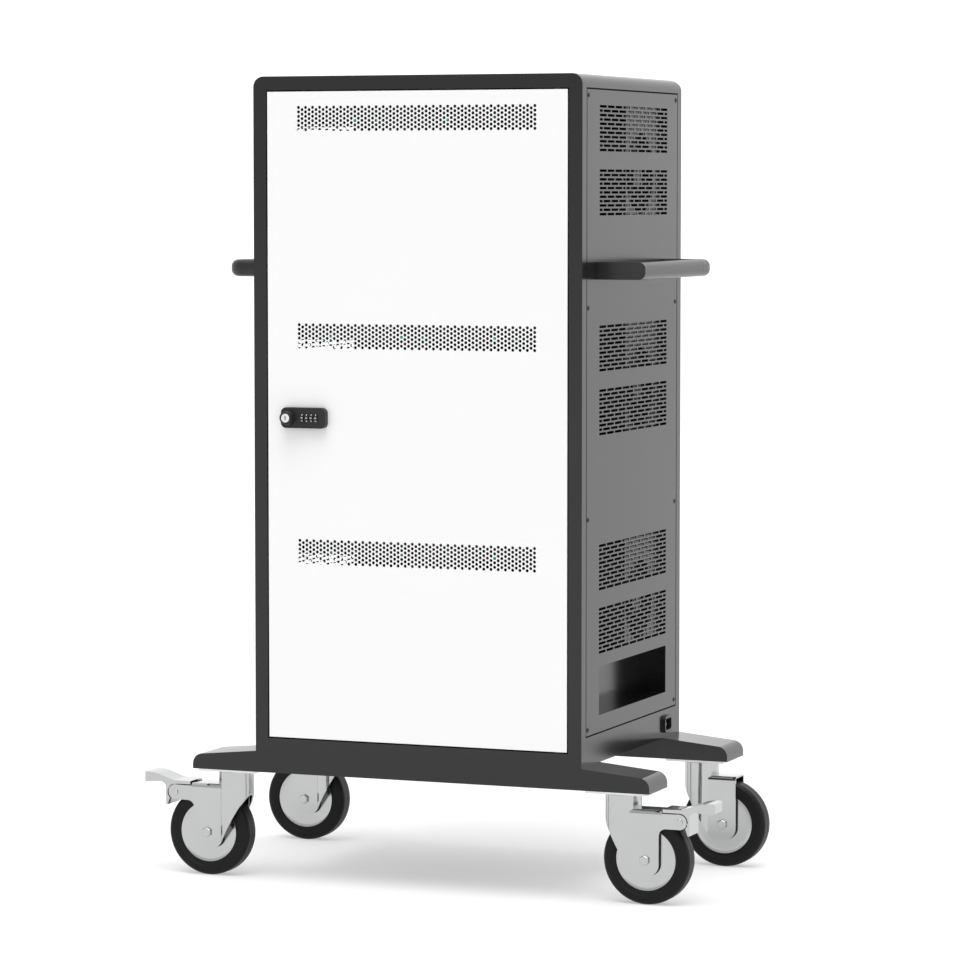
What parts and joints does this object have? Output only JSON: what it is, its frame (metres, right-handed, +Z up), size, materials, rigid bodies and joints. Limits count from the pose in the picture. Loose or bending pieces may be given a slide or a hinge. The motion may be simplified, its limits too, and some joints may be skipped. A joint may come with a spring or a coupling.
{
  "type": "charging cabinet",
  "caption": "Wheeled sheet-steel charging cabinet with a lockable perforated door, vented side panels, side handles, a cord niche and braked swivel casters.",
  "frame": {"origin": "on the floor under the middle of the object's bounding box", "axes": "+X to the right seen from the front, +Y to the back, +Z up; the door faces -Y"},
  "size_m": [0.861, 0.434, 1.134],
  "materials": {
    "body_paint": "satin",
    "door_paint": "satin",
    "shelf_paint": "satin",
    "module_plastic": "matte",
    "lamp_green": "gloss",
    "inlet_plastic": "matte",
    "contact_metal": "gloss",
    "screw_steel": "satin",
    "zinc_steel": "satin",
    "lock_plastic": "satin",
    "dial_plastic": "satin",
    "key_metal": "gloss",
    "fork_steel": "satin",
    "hub_steel": "satin",
    "tyre_rubber": "matte",
    "pedal_steel": "satin"
  },
  "bodies": {
    "cabinet": {"front_frame": "body_paint", "roof": "body_paint", "left_side_frame": "body_paint", "right_side_frame": "body_paint", "left_side_panel": "body_paint", "right_side_panel": "body_paint", "floor_pan": "body_paint", "rear_panel": "body_paint", "panel_screws": "screw_steel", "cord_niche": "body_paint", "base_beams": "body_paint", "handle_grips": "body_paint", "handle_ends": "body_paint", "handle_bolts": "screw_steel", "charging_shelves": "shelf_paint", "dividers": "shelf_paint", "charging_modules": "module_plastic", "charge_lamps": "lamp_green", "fan_housings": "module_plastic", "power_supply": "module_plastic", "power_inlet": "inlet_plastic", "power_inlet_pins": "contact_metal", "hinge_pivots": "zinc_steel", "strike_plate": "body_paint", "caster_heads": "zinc_steel", "caster_bolts": "zinc_steel"},
    "door": {"door_skin": "door_paint", "door_frame": "body_paint", "lock_body": "lock_plastic", "dial_axle": "zinc_steel"},
    "knob": {"lock_knob": "lock_plastic", "lock_cam": "zinc_steel"},
    "key": {"key_plug": "key_metal"},
    "dial_1": {"dial_1": "dial_plastic"},
    "dial_2": {"dial_2": "dial_plastic"},
    "dial_3": {"dial_3": "dial_plastic"},
    "dial_4": {"dial_4": "dial_plastic"},
    "fan_1": {"fan_rotor_1": "module_plastic"},
    "fan_2": {"fan_rotor_2": "module_plastic"},
    "fan_3": {"fan_rotor_3": "module_plastic"},
    "swivel_front_left": {"front_left_fork": "fork_steel", "front_left_axle": "zinc_steel", "front_left_brake_pin": "zinc_steel"},
    "wheel_front_left": {"front_left_hub": "hub_steel", "front_left_tyre": "tyre_rubber"},
    "pedal_front_left": {"front_left_brake_pedal": "pedal_steel"},
    "swivel_front_right": {"front_right_fork": "fork_steel", "front_right_axle": "zinc_steel", "front_right_brake_pin": "zinc_steel"},
    "wheel_front_right": {"front_right_hub": "hub_steel", "front_right_tyre": "tyre_rubber"},
    "pedal_front_right": {"front_right_brake_pedal": "pedal_steel"},
    "swivel_rear_left": {"rear_left_fork": "fork_steel", "rear_left_axle": "zinc_steel"},
    "wheel_rear_left": {"rear_left_hub": "hub_steel", "rear_left_tyre": "tyre_rubber"},
    "swivel_rear_right": {"rear_right_fork": "fork_steel", "rear_right_axle": "zinc_steel"},
    "wheel_rear_right": {"rear_right_hub": "hub_steel", "rear_right_tyre": "tyre_rubber"}
  },
  "joints": [
    {"name": "door_hinge", "type": "hinge", "parent": "cabinet", "child": "door", "pos_m": [0.2085, -0.189, 0.66], "axis": [0, 0, 1], "range_deg": [0, 110]},
    {"name": "knob_turn", "type": "hinge", "parent": "door", "child": "knob", "pos_m": [-0.1884, -0.206, 0.6588], "axis": [0, -1, 0], "range_deg": [0, 90]},
    {"name": "key_turn", "type": "hinge", "parent": "knob", "child": "key", "pos_m": [-0.1884, -0.206, 0.6588], "axis": [0, -1, 0], "range_deg": [0, 90]},
    {"name": "dial_1_turn", "type": "hinge", "parent": "door", "child": "dial_1", "pos_m": [-0.16715, -0.2008, 0.6588], "axis": [1, 0, 0], "continuous": true},
    {"name": "dial_2_turn", "type": "hinge", "parent": "door", "child": "dial_2", "pos_m": [-0.16025, -0.2008, 0.6588], "axis": [1, 0, 0], "continuous": true},
    {"name": "dial_3_turn", "type": "hinge", "parent": "door", "child": "dial_3", "pos_m": [-0.15335, -0.2008, 0.6588], "axis": [1, 0, 0], "continuous": true},
    {"name": "dial_4_turn", "type": "hinge", "parent": "door", "child": "dial_4", "pos_m": [-0.14645, -0.2008, 0.6588], "axis": [1, 0, 0], "continuous": true},
    {"name": "fan_1_spin", "type": "hinge", "parent": "cabinet", "child": "fan_1", "pos_m": [0.2235, 0.0626, 0.3949], "axis": [1, 0, 0], "continuous": true},
    {"name": "fan_2_spin", "type": "hinge", "parent": "cabinet", "child": "fan_2", "pos_m": [0.2235, 0.0626, 0.69695], "axis": [1, 0, 0], "continuous": true},
    {"name": "fan_3_spin", "type": "hinge", "parent": "cabinet", "child": "fan_3", "pos_m": [0.2235, 0.0626, 0.999], "axis": [1, 0, 0], "continuous": true},
    {"name": "swivel_front_left_turn", "type": "hinge", "parent": "cabinet", "child": "swivel_front_left", "pos_m": [-0.293, -0.1585, 0.15], "axis": [0, 0, 1], "continuous": true},
    {"name": "wheel_front_left_roll", "type": "hinge", "parent": "swivel_front_left", "child": "wheel_front_left", "pos_m": [-0.3305, -0.1585, 0.0625], "axis": [0, 1, 0], "continuous": true},
    {"name": "pedal_front_left_press", "type": "hinge", "parent": "swivel_front_left", "child": "pedal_front_left", "pos_m": [-0.3805, -0.1585, 0.1175], "axis": [0, -1, 0], "range_deg": [0, 12]},
    {"name": "swivel_front_right_turn", "type": "hinge", "parent": "cabinet", "child": "swivel_front_right", "pos_m": [0.293, -0.1585, 0.15], "axis": [0, 0, 1], "continuous": true},
    {"name": "wheel_front_right_roll", "type": "hinge", "parent": "swivel_front_right", "child": "wheel_front_right", "pos_m": [0.3305, -0.1585, 0.0625], "axis": [0, 1, 0], "continuous": true},
    {"name": "pedal_front_right_press", "type": "hinge", "parent": "swivel_front_right", "child": "pedal_front_right", "pos_m": [0.3805, -0.1585, 0.1175], "axis": [0, 1, 0], "range_deg": [0, 12]},
    {"name": "swivel_rear_left_turn", "type": "hinge", "parent": "cabinet", "child": "swivel_rear_left", "pos_m": [-0.293, 0.1795, 0.15], "axis": [0, 0, 1], "continuous": true},
    {"name": "wheel_rear_left_roll", "type": "hinge", "parent": "swivel_rear_left", "child": "wheel_rear_left", "pos_m": [-0.3305, 0.1795, 0.0625], "axis": [0, 1, 0], "continuous": true},
    {"name": "swivel_rear_right_turn", "type": "hinge", "parent": "cabinet", "child": "swivel_rear_right", "pos_m": [0.293, 0.1795, 0.15], "axis": [0, 0, 1], "continuous": true},
    {"name": "wheel_rear_right_roll", "type": "hinge", "parent": "swivel_rear_right", "child": "wheel_rear_right", "pos_m": [0.3305, 0.1795, 0.0625], "axis": [0, 1, 0], "continuous": true}
  ]
}
